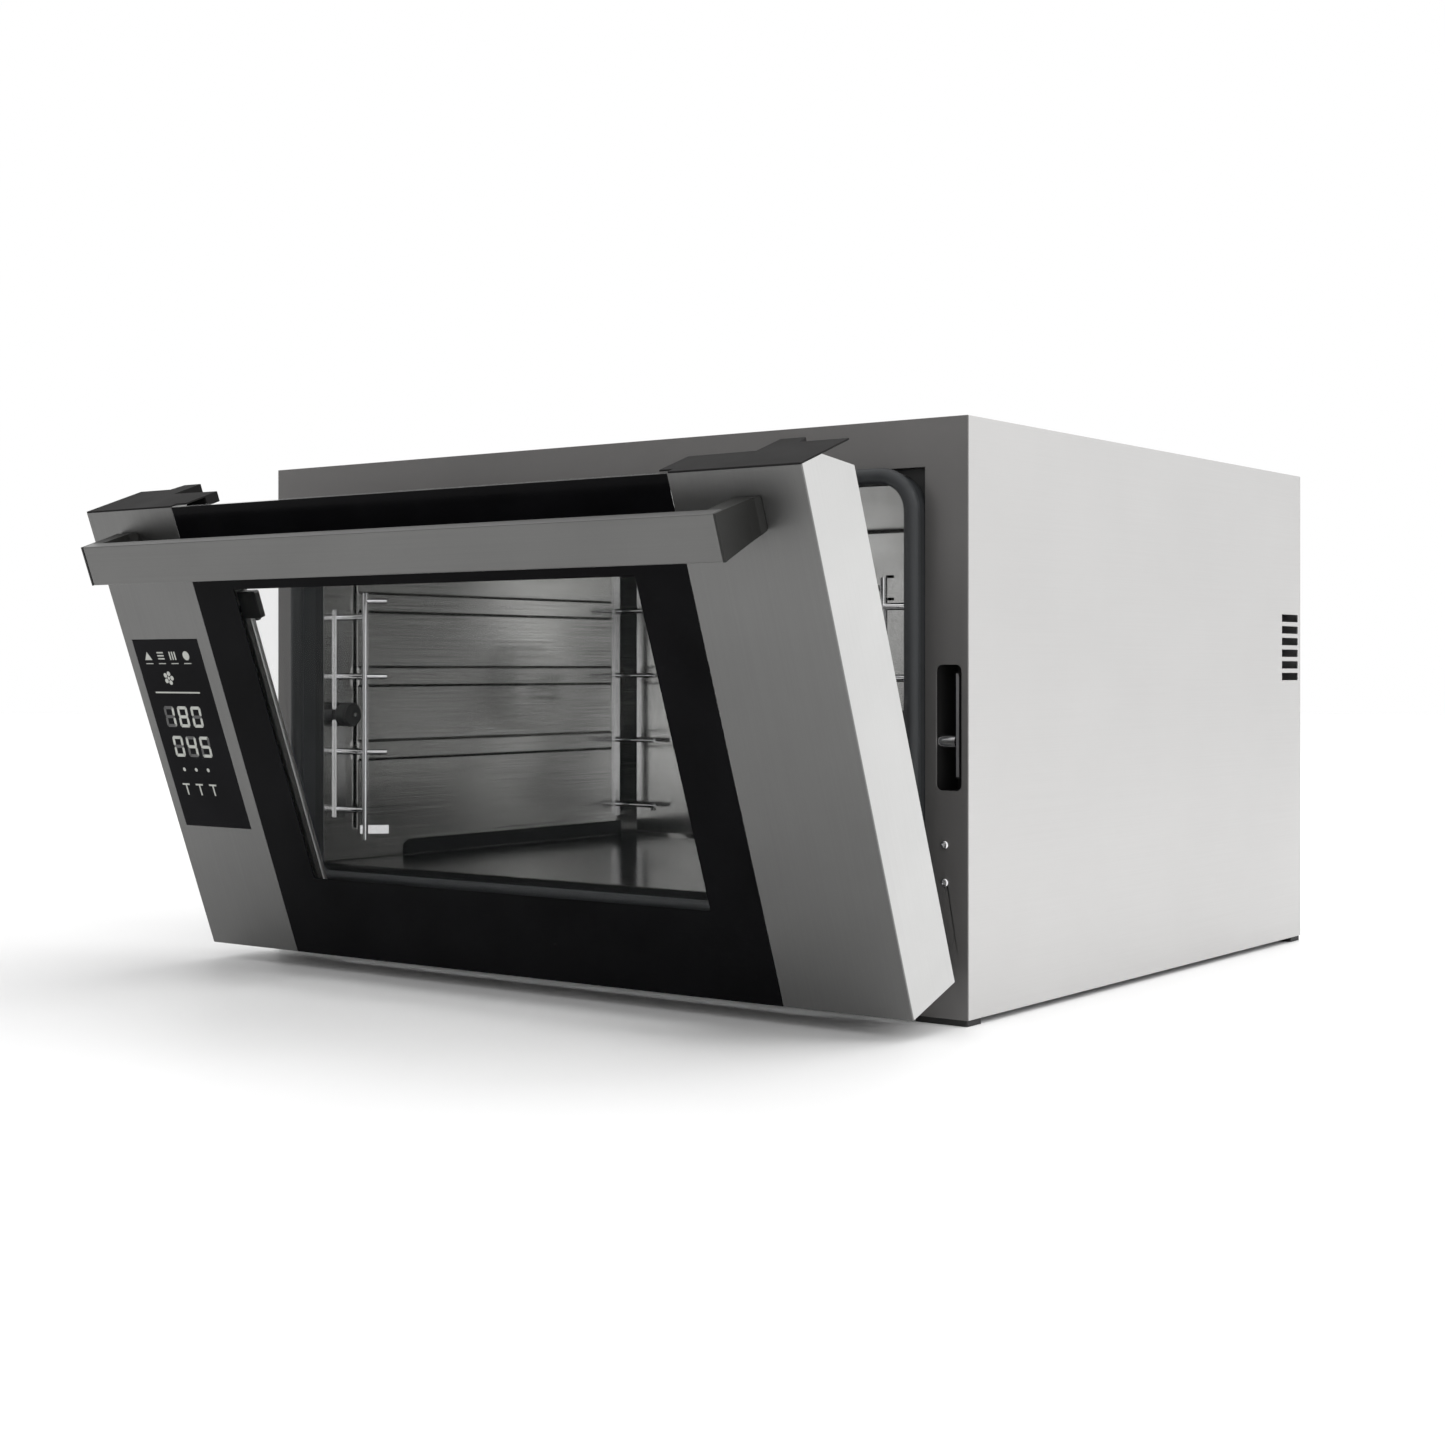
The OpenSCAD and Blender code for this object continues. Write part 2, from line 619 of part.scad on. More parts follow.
glass_t = 4;
module outer_glass() color("lightblue", 0.4) in_door()
    block([-band_w / 2, band_w / 2], [border_t, border_t + glass_t], [0, door_h]);
border_t = 0.5;
module glass_border() color("black") in_door() plate_xz(0, border_t) difference() {
    translate([-band_w / 2, 0]) square([band_w, door_h]);
    translate([-window_w / 2, window_v]) square([window_w, window_h]);
}
inner_glass_u = door_t - 7.5;
module inner_glass() color("lightblue", 0.4) in_door()
    block([-column_in + 1, column_in - 1], [inner_glass_u, inner_glass_u + 4], [44, door_h - chamfer_v - 3]);

// Black pads that keep the inner glass off the columns, one in each upper corner
pad_u = door_t - 9;
module glass_pads() color("black") in_door() both_sides() block([263.5, 288], [pad_u - 6, pad_u], [315, 341]);

// Rails that join the two columns below and above the window
module door_rails() color("darkgray") in_door() {
    rail_x = band_w / 2 - 0.5;
    difference() {
        block([-rail_x, rail_x], [glass_t + border_t, door_t - 9.5], [0, 44]);
        block([-rail_x - 1, rail_x + 1], [glass_t + border_t + sheet, door_t - 9.5 - sheet],
            [sheet, 44 - sheet]);
    }
    block([-rail_x - 1, rail_x + 1], [door_t - 9.5, door_t], [30, 43.6]);
    difference() {
        block([-rail_x, rail_x], [glass_t + border_t, door_t - 9.5], [380, 410]);
        block([-rail_x - 1, rail_x + 1], [glass_t + border_t + sheet, door_t - 9.5 - sheet],
            [380 + sheet, 410 - sheet]);
    }
}

// Turning clip that holds the inner glass; its screw sits in the column's rear face
clip_x = 301;
clip_v = 321;
clip_t = 4;
module glass_clip() difference() {
    union() {
        block([clip_x - 14, clip_x + 11], [door_t + fit_gap, door_t + fit_gap + clip_t],
            [clip_v - 13, clip_v + 13]);
        bar_y(clip_x, door_t - 6, door_t + fit_gap, clip_v, 3);
    }
    block([clip_x - 5, clip_x + 5], [door_t + fit_gap + clip_t - 1, door_t + 10],
        [clip_v - 0.8, clip_v + 0.8]);
}
module glass_clip_right() color("black") in_door() glass_clip();
module glass_clip_left() color("black") in_door() left_side() glass_clip();

// Clevis that turns on the hinge pin
module hinge_leaf() difference() {
    union() {
        for (x = [[346, 352], [364, 370]]) plate_yz(x[0], x[1]) {
            translate([hinge_u, hinge_v]) circle(r = 7);
            translate([hinge_u - 7, hinge_v]) square([14, 60]);
        }
        block([346, 370], [hinge_u - 7, hinge_u + 7], [hinge_v + 15, hinge_v + 60]);
    }
    bar_x(340, 375, hinge_u, hinge_v, hinge_pin_r + pin_clear);
}
module hinge_leaves() color("gray") in_door() both_sides() hinge_leaf();

// Catch arm that runs over the roller
tongue_x = 372.2;
tongue_v = roller_z + roller_r + 0.6 - door_z;
module catch_tongue() color("gray") in_door() {
    plate_yz(tongue_x, tongue_x + 3) polygon([[door_t - 14, tongue_v - 8], [door_t + 6, tongue_v],
        [door_t + 30, tongue_v], [door_t + 33, tongue_v + 3], [door_t + 33, tongue_v + 12],
        [door_t + 28, tongue_v + 17], [door_t - 14, tongue_v + 26]]);
    block([tongue_x, half_w - sheet], [door_t - 16, door_t - 14], [tongue_v - 12, tongue_v + 30]);
}

// Torsion spring round each pin, a helix of round wire
spring_turns = 5;
spring_steps = 14;
wire_r = 1;
coil_r = 6.3;
coil_pitch = 2.6;
module coil() {
    rings = spring_turns * spring_steps;
    sides = 6;
    function angle(i) = 360 * i / spring_steps;
    points = [for (i = [0 : rings]) for (j = [0 : sides - 1])
        let (a = 360 * j / sides, r = coil_r + wire_r * cos(a))
        [coil_pitch * i / spring_steps + wire_r * sin(a), r * cos(angle(i)), r * sin(angle(i))]];
    sides_faces = [for (i = [0 : rings - 1]) for (j = [0 : sides - 1])
        let (k = (j + 1) % sides) [i * sides + j, i * sides + k, (i + 1) * sides + k, (i + 1) * sides + j]];
    first = [for (j = [sides - 1 : -1 : 0]) j];
    last = [for (j = [0 : sides - 1]) rings * sides + j];
    polyhedron(points = points, faces = concat(sides_faces, [first, last]));
}
module hinge_springs() color("black") in_door() both_sides() translate([374.5, hinge_u, hinge_v]) coil();

// ---- Handle and control panel ----

module handle_bar() color("silver") in_door() {
    half = handle_l / 2;
    translate([0, 0, handle_v]) linear_extrude(handle_h) polygon([
        [-half + 1, -handle_reach], [half - 1, -handle_reach], [half, -handle_reach + 1],
        [half, -handle_reach + handle_t], [-half, -handle_reach + handle_t], [-half, -handle_reach + 1]]);
}
module handle_end() {
    // Outline seen from above, cut to the outline seen from the side
    end_x = handle_l / 2;
    top_v = handle_v + handle_h;
    intersection() {
        translate([0, 0, handle_v]) linear_extrude(handle_h) polygon([
            [end_x - 14, handle_t - handle_reach], [end_x, handle_t - handle_reach], [end_x, -handle_reach],
            [end_x + 2, -handle_reach], [end_x + 3.4, -30], [end_x + 4.6, -16], [end_x + 6, -7],
            [end_x + 8, -2], [end_x + 8, 0], [end_x - 18, 0], [end_x - 18, -2], [end_x - 14, -8]]);
        plate_yz(end_x - 20, end_x + 10) polygon([[-handle_reach, handle_v], [-handle_reach, top_v],
            [-4, top_v - 1], [-1.5, top_v - 2], [0, top_v - 4.5], [0, handle_v + 10.5], [-2, handle_v + 8.5],
            [-6, handle_v + 7]]);
    }
    // Screws through the column
    for (v = handle_screw_v) {
        bar_y(handle_l / 2 - 8, -1, 8, v, 2.4);
        bar_y(handle_l / 2 - 8, sheet, sheet + 3, v, 4.5);
    }
}
module handle_ends() color("dimgray") in_door() both_sides() handle_end();

module control_panel() color("black") in_door() left_side() {
    block([panel_x0, panel_x0 + panel_w], [0, 3], [panel_v, panel_v + panel_h]);
    block([panel_x0 + 6, panel_x0 + panel_w - 6], [3, 6], [panel_v + 8, panel_v + panel_h - 8]);
    // Control board on four posts
    block([panel_x0 + 8, panel_x0 + panel_w - 8], [20, 21.6], [panel_v + 10, panel_v + panel_h - 10]);
    for (x = [panel_x0 + 14, panel_x0 + panel_w - 14]) for (v = [panel_v + 16, panel_v + panel_h - 16])
        bar_y(x, 6, 20, v, 2.5);
    for (k = [0 : 3]) block([panel_x0 + 20 + k * 14, panel_x0 + 30 + k * 14], [21.6, 26],
        [panel_v + 60, panel_v + 74]);
}

outer_casing();
front_frame();
base_pan();
rear_panel();
feet();
cavity_liner();
cavity_seal();
insulation();
side_panel_left();
side_panel_right();
rack_front_left();
rack_front_right();
rack_rear_left();
rack_rear_right();
rack_knobs();
rack_studs();
fan_baffle();
bulkhead();
heater_left();
heater_right();
motor_left();
motor_right();
fan_wheel_left();
fan_wheel_right();
fan_shaft_left();
fan_shaft_right();
steam_pipe();
solenoid_valve();
water_inlet();
exhaust_pipe();
power_board();
terminal_block();
cable_gland();
thermostat();
thermostat_button();
cooling_fan_frame();
cooling_fan_rotor();
temperature_probe();
hinge_brackets();
hinge_pins();
catch_bracket();
catch_roller();
catch_tongue();
casing_screws();
door_column_left();
door_column_right();
door_cap_left();
door_cap_right();
outer_glass();
glass_border();
inner_glass();
glass_pads();
door_rails();
glass_clip_left();
glass_clip_right();
hinge_leaves();
hinge_springs();
handle_bar();
handle_ends();
control_panel();
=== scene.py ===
import json
import math

import bmesh
import bpy
from mathutils import Matrix, Vector


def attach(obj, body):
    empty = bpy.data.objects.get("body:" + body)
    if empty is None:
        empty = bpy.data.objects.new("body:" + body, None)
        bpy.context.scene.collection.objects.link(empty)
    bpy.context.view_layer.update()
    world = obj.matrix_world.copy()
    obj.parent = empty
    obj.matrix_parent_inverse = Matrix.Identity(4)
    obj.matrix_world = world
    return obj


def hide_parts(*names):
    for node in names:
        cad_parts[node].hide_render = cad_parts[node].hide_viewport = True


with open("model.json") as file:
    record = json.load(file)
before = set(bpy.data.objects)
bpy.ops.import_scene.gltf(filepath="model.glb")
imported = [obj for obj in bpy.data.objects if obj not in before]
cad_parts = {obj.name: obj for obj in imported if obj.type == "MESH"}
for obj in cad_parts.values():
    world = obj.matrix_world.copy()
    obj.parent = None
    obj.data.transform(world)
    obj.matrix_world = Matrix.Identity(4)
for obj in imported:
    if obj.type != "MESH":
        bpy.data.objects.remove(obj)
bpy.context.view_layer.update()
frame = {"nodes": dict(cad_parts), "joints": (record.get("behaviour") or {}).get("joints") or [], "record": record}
nodes = frame["nodes"]
scene = bpy.context.scene
scene.view_settings.view_transform = "Standard"

MM = 0.001
DOOR_TILT = math.radians(20)
hinge = next(j for j in frame["joints"] if j["name"] == "door_hinge")
HINGE = Vector(hinge["pos_m"])
HINGE_AHEAD = 0.058              # how far the hinge stands before the cabinet's front plane
FRONT = HINGE.y + HINGE_AHEAD    # the cabinet's front plane, in the row frame
REAR = 685.0                     # the rear panel's outer face, millimetres behind the front plane
WALL = 341.8                     # the cavity's side walls
MOUTH = (360.2, 75.3, 443.7)     # half width, bottom and top of the opening in the front frame
HINGE_U, HINGE_V = 29.0, 9.0     # the hinge in the door's own coordinates, millimetres
INLET = (300, 60)                # X and Z of the water inlet and of the cable gland on the rear panel
GLAND = (-300, 60)


def cab(x, y, z):
    """A point given in millimetres from the cabinet's front plane."""
    return Vector((x * MM, FRONT + y * MM, z * MM))


DOOR = (Matrix.Translation(HINGE) @ Matrix.Rotation(DOOR_TILT, 4, "X")
        @ Matrix.Translation((0, -HINGE_U * MM, -HINGE_V * MM)) @ Matrix.Scale(MM, 4))
CAB = Matrix.Translation((0, FRONT, 0)) @ Matrix.Scale(MM, 4)


# ---- Camera, fitted to corners of the oven in the photograph; lights; world ----

camera_data = bpy.data.cameras.new("camera")
camera_data.sensor_width = 36
camera_data.lens = 53.8
camera_data.shift_y = -0.0373
camera = bpy.data.objects.new("camera", camera_data)
camera.location = (1.2608, -1.69684, 0.2829)
camera.rotation_euler = (math.radians(90), 0, math.radians(36.66))
scene.collection.objects.link(camera)
scene.camera = camera


def area_light(name, location, target, size, power, hide_gloss=False):
    data = bpy.data.lights.new(name, "AREA")
    data.shape = "RECTANGLE"
    data.size, data.size_y = size
    data.energy = power
    light = bpy.data.objects.new(name, data)
    light.location = location
    light.rotation_euler = (Vector(target) - Vector(location)).to_track_quat("-Z", "Y").to_euler()
    light.visible_camera = False
    light.visible_glossy = not hide_gloss
    scene.collection.objects.link(light)


area_light("light_right", (3.2, 1.0, 2.4), (0, 0, 0.2), (2.0, 2.0), 45)
area_light("light_top", (0.6, 0.2, 3.2), (0, 0, 0), (2.6, 2.6), 60, hide_gloss=True)
area_light("light_cavity", (0.0, FRONT + 0.20, 0.415), (0.0, FRONT + 0.24, 0.1), (0.5, 0.25), 1.6,
           hide_gloss=True)

# The world is bright on the side that this direction points to and dim on the other
LIT_SIDE = Vector((0.62, 0.70, 0.36)).normalized()
world = bpy.data.worlds.new("studio")
scene.world = world
world.use_nodes = True
wt = world.node_tree
wt.nodes.clear()
w_out = wt.nodes.new("ShaderNodeOutputWorld")
w_bg = wt.nodes.new("ShaderNodeBackground")
w_co = wt.nodes.new("ShaderNodeTexCoord")
w_dot = wt.nodes.new("ShaderNodeVectorMath")
w_dot.operation = "DOT_PRODUCT"
w_dot.inputs[1].default_value = LIT_SIDE
w_map = wt.nodes.new("ShaderNodeMapRange")
w_map.inputs["From Min"].default_value = -1
w_ramp = wt.nodes.new("ShaderNodeValToRGB")
for pos, value in ((0.0, 0.16), (0.22, 0.24), (0.36, 0.75), (0.44, 1.0), (1.0, 1.0)):
    e = w_ramp.color_ramp.elements.new(pos) if pos not in (0.0, 1.0) else w_ramp.color_ramp.elements[int(pos)]
    e.color = (value, value, value, 1)
wt.links.new(w_co.outputs["Generated"], w_dot.inputs[0])
wt.links.new(w_dot.outputs["Value"], w_map.inputs["Value"])
wt.links.new(w_map.outputs["Result"], w_ramp.inputs["Fac"])
wt.links.new(w_ramp.outputs["Color"], w_bg.inputs["Color"])
w_bg.inputs["Strength"].default_value = 1.12
wt.links.new(w_bg.outputs["Background"], w_out.inputs["Surface"])


# ---- Materials ----

def new_material(name):
    m = bpy.data.materials.new(name)
    m.use_nodes = True
    return m, m.node_tree, m.node_tree.nodes["Principled BSDF"]


def noise(tree, scale, stretch=(1, 1, 1), tilt=0.0, detail=3.0):
    co = tree.nodes.new("ShaderNodeTexCoord")
    mp = tree.nodes.new("ShaderNodeMapping")
    mp.vector_type = "TEXTURE" if tilt else "POINT"
    if tilt:
        mp.inputs["Rotation"].default_value = (tilt, 0, 0)
        mp.inputs["Scale"].default_value = [1 / s for s in stretch]
    else:
        mp.inputs["Scale"].default_value = stretch
    n = tree.nodes.new("ShaderNodeTexNoise")
    n.inputs["Scale"].default_value = scale
    n.inputs["Detail"].default_value = detail
    tree.links.new(co.outputs["Object"], mp.inputs["Vector"])
    tree.links.new(mp.outputs["Vector"], n.inputs["Vector"])
    return n.outputs["Fac"]


def spread(tree, fac, low, high, a=0.35, b=0.65):
    mr = tree.nodes.new("ShaderNodeMapRange")
    mr.inputs["From Min"].default_value = a
    mr.inputs["From Max"].default_value = b
    mr.inputs["To Min"].default_value = low
    mr.inputs["To Max"].default_value = high
    tree.links.new(fac, mr.inputs["Value"])
    return mr.outputs["Result"]


def tone(tree, fac, dark, light, a=0.3, b=0.7):
    ramp = tree.nodes.new("ShaderNodeValToRGB")
    ramp.color_ramp.elements[0].position = a
    ramp.color_ramp.elements[0].color = (*dark, 1)
    ramp.color_ramp.elements[1].position = b
    ramp.color_ramp.elements[1].color = (*light, 1)
    tree.links.new(fac, ramp.inputs["Fac"])
    return ramp.outputs["Color"]


def bump(tree, bsdf, fac, strength, distance):
    bp = tree.nodes.new("ShaderNodeBump")
    bp.inputs["Strength"].default_value = strength
    bp.inputs["Distance"].default_value = distance
    tree.links.new(fac, bp.inputs["Height"])
    tree.links.new(bp.outputs["Normal"], bsdf.inputs["Normal"])


def along(tree, axis):
    """How far a point lies along an axis of the row frame, in metres."""
    co = tree.nodes.new("ShaderNodeTexCoord")
    dot = tree.nodes.new("ShaderNodeVectorMath")
    dot.operation = "DOT_PRODUCT"
    dot.inputs[1].default_value = axis
    tree.links.new(co.outputs["Object"], dot.inputs[0])
    return dot.outputs["Value"]


def shade(color, k):
    return tuple(min(1.0, c * k) for c in color)


GRAIN = {"x": (6, 900, 900), "y": (900, 6, 900), "z": (900, 900, 6)}


def brushed(name, color, rough, grain="x", tilt=0.0, vary=0.06, depth=0.05, metal=1.0, patch=0.05,
            other=None):
    """Brushed metal. other is (axis, from, to, colour), a second colour further along the axis, used here for
    painted shade.
    """
    m, t, b = new_material(name)
    fine = noise(t, 1.0, GRAIN[grain], tilt, detail=2.0)
    broad = noise(t, 7.0, detail=4.0)
    b.inputs["Metallic"].default_value = metal
    base = tone(t, broad, shade(color, 1 - patch), shade(color, 1 + patch))
    if other:
        axis, a_edge, b_edge, second_colour = other
        mix = t.nodes.new("ShaderNodeMix")
        mix.data_type = "RGBA"
        t.links.new(spread(t, along(t, axis), 0, 1, a_edge, b_edge), mix.inputs[0])
        t.links.new(base, mix.inputs[6])
        t.links.new(tone(t, broad, shade(second_colour, 1 - patch), shade(second_colour, 1 + patch)), mix.inputs[7])
        base = mix.outputs[2]
    t.links.new(base, b.inputs["Base Color"])
    t.links.new(spread(t, fine, rough - vary, rough + vary), b.inputs["Roughness"])
    bump(t, b, fine, depth, 0.0004)
    return m


def moulded(name, color, rough, scale=900.0, depth=0.12, patch=0.12, vary=0.06, gloss=0.5):
    m, t, b = new_material(name)
    b.inputs["Specular IOR Level"].default_value = gloss
    fine = noise(t, scale, detail=3.0)
    broad = noise(t, 14.0, detail=4.0)
    t.links.new(tone(t, broad, shade(color, 1 - patch), shade(color, 1 + patch)), b.inputs["Base Color"])
    t.links.new(spread(t, broad, rough - vary, rough + vary), b.inputs["Roughness"])
    bump(t, b, fine, depth, 0.0003)
    return m


def glass(name, color, alpha):
    m, t, b = new_material(name)
    smear = noise(t, 9.0, (1, 1, 0.4), detail=5.0)
    b.inputs["IOR"].default_value = 1.5
    t.links.new(tone(t, smear, shade(color, 0.9), color), b.inputs["Base Color"])
    t.links.new(spread(t, smear, 0.02, 0.07), b.inputs["Roughness"])
    lw = t.nodes.new("ShaderNodeLayerWeight")
    lw.inputs["Blend"].default_value = 0.25
    t.links.new(spread(t, lw.outputs["Facing"], alpha, 0.5, 0.5, 1.0), b.inputs["Alpha"])
    return m


DOOR_BACK = Vector((0, math.cos(DOOR_TILT), math.sin(DOOR_TILT)))
DOOR_FACE = HINGE.dot(DOOR_BACK) - HINGE_U * MM
SHEET_BACK = DOOR_FACE + 0.0017  # just behind the door's front sheet, where the sheet's painted shade ends and the lighter steel starts
DOWN = Vector((0, 0, -1))
FLOOR_TOP = 0.091                # the cavity's floor, painted darker as shade, lies below this height
STEP = 0.0002                    # half the distance over which the painted shade turns into the other colour

M = {
    "steel_casing": brushed("casing_steel", (0.555, 0.55, 0.545), 0.40, "y", vary=0.025, depth=0.02,
                            patch=0.015),
    # The front frame is the casing's steel painted much darker, as shade
    "steel_fascia": brushed("fascia_steel_painted_shade", (0.155, 0.151, 0.148), 0.34, "x", vary=0.04, depth=0.03,
                            metal=0.45),
    # The cavity's floor is painted darker than its walls, as shade
    "steel_cavity": brushed("cavity_steel_floor_painted_shade", (0.66, 0.66, 0.652), 0.16, "y", vary=0.06, patch=0.07,
                            other=(DOWN, -FLOOR_TOP - STEP, -FLOOR_TOP + STEP, (0.095, 0.095, 0.095))),
    # The door's front sheet is painted dark as shade; the steel behind it keeps the lighter tone
    "steel_door": brushed("door_steel_front_painted_shade", (0.170, 0.170, 0.167), 0.42, "z", DOOR_TILT, vary=0.04, depth=0.03,
                          other=(DOOR_BACK, SHEET_BACK - STEP, SHEET_BACK + STEP, (0.56, 0.56, 0.555))),
    "dark_cap": moulded("cap_grey", (0.018, 0.0175, 0.0175), 0.7, gloss=0.04),
    # The handle bar's steel is painted dark as shade, like the door's front sheet
    "handle_steel": brushed("handle_steel", (0.154, 0.154, 0.151), 0.38, "x", vary=0.05, depth=0.05),
    "handle_grey": moulded("handle_grey", (0.017, 0.017, 0.016), 0.45, gloss=0.25),
    "chrome": brushed("chrome", (0.80, 0.80, 0.81), 0.10, "z", vary=0.03, depth=0.02),
    "zinc_steel": brushed("zinc_steel", (0.46, 0.46, 0.47), 0.38, "y", patch=0.15),
    "seal_rubber": moulded("seal_rubber", (0.030, 0.032, 0.034), 0.5, 700, 0.15, gloss=0.3),
    "black_rubber": moulded("foot_rubber", (0.012, 0.012, 0.012), 0.7, 700, 0.25),
    "clear_glass": glass("clear_glass", (0.02, 0.024, 0.023), 0.05),
    "black_print": moulded("black_print", (0.004, 0.004, 0.0045), 0.10, 300, 0.01, patch=0.3, vary=0.03,
                           gloss=0.03),
    "panel_black": moulded("panel_black", (0.006, 0.006, 0.007), 0.10, 300, 0.01, patch=0.3, vary=0.03,
                           gloss=0.03),
    "black_plastic": moulded("black_plastic", (0.014, 0.014, 0.014), 0.42, 1100, 0.2),
    "red_plastic": moulded("red_plastic", (0.42, 0.02, 0.02), 0.3),
    "beige_plastic": moulded("beige_plastic", (0.62, 0.55, 0.42), 0.45),
    "blue_plastic": moulded("blue_plastic", (0.05, 0.12, 0.30), 0.4),
    "wool": moulded("wool", (0.60, 0.52, 0.36), 0.95, 260, 0.9, patch=0.25),
    "heater_steel": brushed("heater_steel", (0.16, 0.12, 0.10), 0.45, "y", patch=0.4),
    "motor_paint": moulded("motor_paint", (0.03, 0.033, 0.037), 0.4, 500, 0.25),
    "spring_steel": brushed("spring_steel", (0.14, 0.14, 0.145), 0.35, "x", patch=0.2),
    "brass": brushed("brass", (0.62, 0.43, 0.15), 0.3, "z", patch=0.12),
    "pipe_white": moulded("pipe_white", (0.72, 0.72, 0.69), 0.4),
    "board_green": moulded("board_green", (0.015, 0.11, 0.04), 0.35, 420, 0.4, patch=0.35),
}

for sub in frame["record"]["subparts"]:
    mesh = nodes[sub["node"]].data
    mesh.materials.clear()
    mesh.materials.append(M[sub["material_slot"]])

# Edge rounding in millimetres, as modifiers, so the meshes of the CAD nodes stay as they are
BEVEL = {
    "outer_casing": 0.5, "front_frame": 0.3, "base_pan": 0.4, "rear_panel": 0.3, "cavity_liner": 0.4,
    "side_panel_left": 0.4, "side_panel_right": 0.4, "fan_baffle": 0.2, "door_column_left": 0.5,
    "door_column_right": 0.5, "door_cap_left": 0.4, "door_cap_right": 0.4, "outer_glass": 0.6,
    "inner_glass": 0.6, "glass_clip_left": 0.8, "glass_clip_right": 0.8, "handle_bar": 1.2,
    "handle_ends": 1.0, "control_panel": 0.4, "hinge_leaves": 0.5, "hinge_brackets": 0.5,
    "catch_bracket": 0.3, "catch_tongue": 0.4, "rack_knobs": 0.6, "rack_studs": 0.5,
    "door_rails": 0.4, "bulkhead": 0.3,
    "rack_rear_left": 0.4, "rack_rear_right": 0.4, "rack_front_left": 0.4, "rack_front_right": 0.4,
    "feet": 0.8, "glass_pads": 1.5,
}
for name, width in BEVEL.items():
    o = nodes[name]
    weld = o.modifiers.new("weld", "WELD")
    weld.merge_threshold = 0.00001
    if name.startswith(("door_column", "door_cap")):
        join = o.modifiers.new("join", "DECIMATE")
        join.decimate_type = "DISSOLVE"
        join.angle_limit = math.radians(1)
    bev = o.modifiers.new("edges", "BEVEL")
    bev.width = width * MM
    bev.segments = 2
    bev.limit_method = "ANGLE"
    bev.angle_limit = math.radians(40)
    flat = o.modifiers.new("shading", "WEIGHTED_NORMAL")
    flat.keep_sharp = True


# ---- Mesh helpers, all in millimetres before the matrix ----

def piece(name, bm, matrix, body, material, smooth=False):
    me = bpy.data.meshes.new(name)
    bm.transform(matrix)
    bmesh.ops.recalc_face_normals(bm, faces=bm.faces)
    bm.to_mesh(me)
    bm.free()
    me.materials.append(material)
    if smooth:
        me.shade_smooth()
        me.set_sharp_from_angle(angle=math.radians(35))
    o = bpy.data.objects.new(name, me)
    scene.collection.objects.link(o)
    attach(o, body)
    return o


def add_box(bm, x, y, z):
    made = bmesh.ops.create_cube(bm, size=1)["verts"]
    for v in made:
        v.co = Vector(((x[0] + x[1]) / 2 + v.co.x * (x[1] - x[0]), (y[0] + y[1]) / 2 + v.co.y * (y[1] - y[0]),
                       (z[0] + z[1]) / 2 + v.co.z * (z[1] - z[0])))
    return made


def add_plate(bm, outline, y0, y1):
    """A flat plate from an outline of (x, z) points, from y0 to y1."""
    front = [bm.verts.new((p[0], y0, p[1])) for p in outline]
    back = [bm.verts.new((p[0], y1, p[1])) for p in outline]
    bm.faces.new(front)
    bm.faces.new(back[::-1])
    for i in range(len(outline)):
        j = (i + 1) % len(outline)
        bm.faces.new((front[i], back[i], back[j], front[j]))


def add_lathe(bm, profile, centre, steps=48):
    """Turns a profile of (radius, y) points round the Y axis through centre."""
    cx, cz = centre
    rings = []
    for r, y in profile:
        if r < 1e-6:
            rings.append([bm.verts.new((cx, y, cz))])
        else:
            rings.append([bm.verts.new((cx + r * math.cos(2 * math.pi * i / steps), y,
                                        cz + r * math.sin(2 * math.pi * i / steps))) for i in range(steps)])
    for a, b in zip(rings, rings[1:]):
        for i in range(steps):
            j = (i + 1) % steps
            if len(a) == 1 and len(b) == 1:
                continue
            if len(a) == 1:
                bm.faces.new((a[0], b[i], b[j]))
            elif len(b) == 1:
                bm.faces.new((a[i], b[0], a[j]))
            else:
                bm.faces.new((a[i], b[i], b[j], a[j]))


def disc(cx, cz, r, n=24):
    """A round outline of n points."""
    turns = [2 * math.pi * i / n for i in range(n)]
    return [(cx + r * math.cos(a), cz + r * math.sin(a)) for a in turns]


# ---- Control panel: two rows of segment digits and generic signs ----

def glow(name, color, strength):
    m, t, b = new_material(name)
    flicker = noise(t, 40.0)
    t.links.new(tone(t, flicker, shade(color, 0.9), color), b.inputs["Base Color"])
    t.links.new(tone(t, flicker, shade(color, 0.9), color), b.inputs["Emission Color"])
    b.inputs["Emission Strength"].default_value = strength
    b.inputs["Roughness"].default_value = 0.3
    return m


# Both glow faintly: on the printed signs and the off segments the glow is painted, on the lit digits it is the
# display's light
lit = glow("signs_and_digits_glow", (0.42, 0.43, 0.40), 0.12)
off_glow = glow("off_segments_painted_glow", (0.05, 0.05, 0.05), 0.03)
SIGN_U = (-0.12, 0.05)           # the signs stand 0.12 mm proud of the panel
SEGMENTS = {"0": "abcdef", "1": "bc", "4": "fgbc", "5": "afgcd", "8": "abcdefg"}


